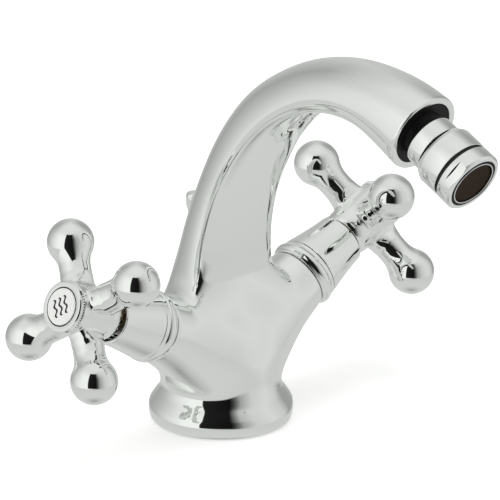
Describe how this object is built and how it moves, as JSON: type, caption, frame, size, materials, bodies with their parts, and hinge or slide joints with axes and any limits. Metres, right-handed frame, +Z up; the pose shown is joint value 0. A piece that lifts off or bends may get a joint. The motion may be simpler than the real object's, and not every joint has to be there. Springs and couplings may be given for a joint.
{
  "type": "bathroom mixer faucet",
  "caption": "Two-handle bathroom mixer on one round base, with a swan-neck spout, a swivel aerator, cross handles and a drain lift knob.",
  "frame": {"origin": "middle of the round base, on the deck it is fixed to", "axes": "+Z up from the deck; the spout reaches towards -Y; the hot valve is on -X and the cold valve on +X"},
  "size_m": [0.1769, 0.1599, 0.1551],
  "materials": {
    "chrome": "polished chromium plate over brass",
    "brass": "machined brass, satin",
    "black_rubber": "moulded rubber, matt",
    "ceramic": "lapped alumina ceramic",
    "spring_steel": "spring steel",
    "porcelain": "glazed white porcelain",
    "black_enamel": "black enamel",
    "white_plastic": "moulded low-friction plastic",
    "black_plastic": "moulded plastic",
    "steel_rim": "bright stainless steel",
    "mesh": "woven stainless wire, dark in shade"
  },
  "bodies": {
    "mixer": {"body_casting": "chrome", "base_seal": "black_rubber", "rod_guide": "white_plastic", "hot_valve_body": "chrome", "hot_seat_seal": "black_rubber", "hot_fixed_disc": "ceramic", "hot_trim_ring": "chrome", "hot_bell": "chrome", "cold_valve_body": "chrome", "cold_seat_seal": "black_rubber", "cold_fixed_disc": "ceramic", "cold_trim_ring": "chrome", "cold_bell": "chrome", "mouth_washer": "black_rubber", "swivel_nut": "black_plastic"},
    "hot_control": {"hot_handle": "chrome", "hot_spindle": "brass", "hot_spindle_orings": "black_rubber", "hot_circlip": "spring_steel", "hot_moving_disc": "ceramic", "hot_handle_screw": "spring_steel", "hot_cap_ring": "chrome", "hot_cap_gasket": "black_rubber", "hot_cap_disc": "porcelain", "hot_cap_mark": "black_enamel"},
    "cold_control": {"cold_handle": "chrome", "cold_spindle": "brass", "cold_spindle_orings": "black_rubber", "cold_circlip": "spring_steel", "cold_moving_disc": "ceramic", "cold_handle_screw": "spring_steel", "cold_cap_ring": "chrome", "cold_cap_gasket": "black_rubber", "cold_cap_disc": "porcelain", "cold_cap_mark": "black_enamel"},
    "swivel_ring": {"swivel_seat": "white_plastic"},
    "nozzle": {"swivel_ball": "chrome", "nozzle_sleeve": "chrome", "nozzle_gasket": "black_rubber", "aerator_housing": "chrome", "aerator_insert": "black_plastic", "aerator_ring": "black_plastic", "aerator_rim": "steel_rim", "aerator_screen": "mesh"},
    "lift": {"lift_rod": "chrome", "lift_knob": "chrome"}
  },
  "joints": [
    {"name": "hot_turn", "type": "hinge", "parent": "mixer", "child": "hot_control", "pos_m": [-0.07118, -0.0028, 0.0606], "axis": [-0.915, 0, 0.4035], "range_deg": [0, 90]},
    {"name": "cold_turn", "type": "hinge", "parent": "mixer", "child": "cold_control", "pos_m": [0.07118, -0.0028, 0.0606], "axis": [-0.915, 0, -0.4035], "range_deg": [0, 90]},
    {"name": "swivel_spin", "type": "hinge", "parent": "mixer", "child": "swivel_ring", "pos_m": [0, -0.09944, 0.13733], "axis": [0, -0.9367, -0.3502], "continuous": true},
    {"name": "nozzle_tilt", "type": "hinge", "parent": "swivel_ring", "child": "nozzle", "pos_m": [0, -0.09944, 0.13733], "axis": [1, 0, 0], "range_deg": [-20.5, 9.5]},
    {"name": "lift_slide", "type": "slide", "parent": "mixer", "child": "lift", "axis": [0, 0, 1], "range_m": [0, 0.025]}
  ]
}
